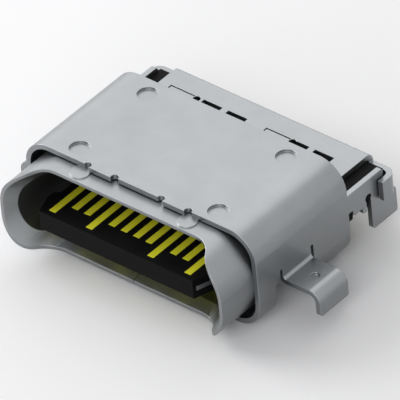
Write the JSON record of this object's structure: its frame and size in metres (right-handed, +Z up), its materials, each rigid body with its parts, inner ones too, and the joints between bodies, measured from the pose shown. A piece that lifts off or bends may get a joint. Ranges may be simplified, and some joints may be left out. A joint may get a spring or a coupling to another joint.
{
  "type": "usb-c socket",
  "caption": "Mid-mount reversible connector socket: steel mouth tube, folded cover with bent side legs, black tongue with gold contacts.",
  "frame": {"origin": "middle of the mouth: centre of the opening across and in height, level with the foremost edge of the rim", "axes": "+X across the mouth, +Y back into the socket (the plug comes in along +Y), +Z up away from the board"},
  "size_m": [0.0122, 0.0082, 0.0036],
  "materials": {
    "tube_steel": "satin nickel plate",
    "cover_steel": "satin nickel plate",
    "shield_steel": "satin nickel plate",
    "plate_steel": "bare satin",
    "pad_steel": "satin nickel plate",
    "black_plastic": "matt moulded",
    "contact_gold": "bright gold plate"
  },
  "bodies": {
    "root": {"inner_shell": "tube_steel", "outer_shell": "cover_steel", "rear_shield": "shield_steel", "tongue": "black_plastic", "upper_carrier": "black_plastic", "lower_carrier": "black_plastic", "mid_plate": "plate_steel", "ground_pad_top": "pad_steel", "ground_pad_bottom": "pad_steel", "contact_a1": "contact_gold", "contact_a2": "contact_gold", "contact_a3": "contact_gold", "contact_a4": "contact_gold", "contact_a5": "contact_gold", "contact_a6": "contact_gold", "contact_a7": "contact_gold", "contact_a8": "contact_gold", "contact_a9": "contact_gold", "contact_a10": "contact_gold", "contact_a11": "contact_gold", "contact_a12": "contact_gold", "contact_b1": "contact_gold", "contact_b2": "contact_gold", "contact_b3": "contact_gold", "contact_b4": "contact_gold", "contact_b5": "contact_gold", "contact_b6": "contact_gold", "contact_b7": "contact_gold", "contact_b8": "contact_gold", "contact_b9": "contact_gold", "contact_b10": "contact_gold", "contact_b11": "contact_gold", "contact_b12": "contact_gold"}
  },
  "joints": []
}
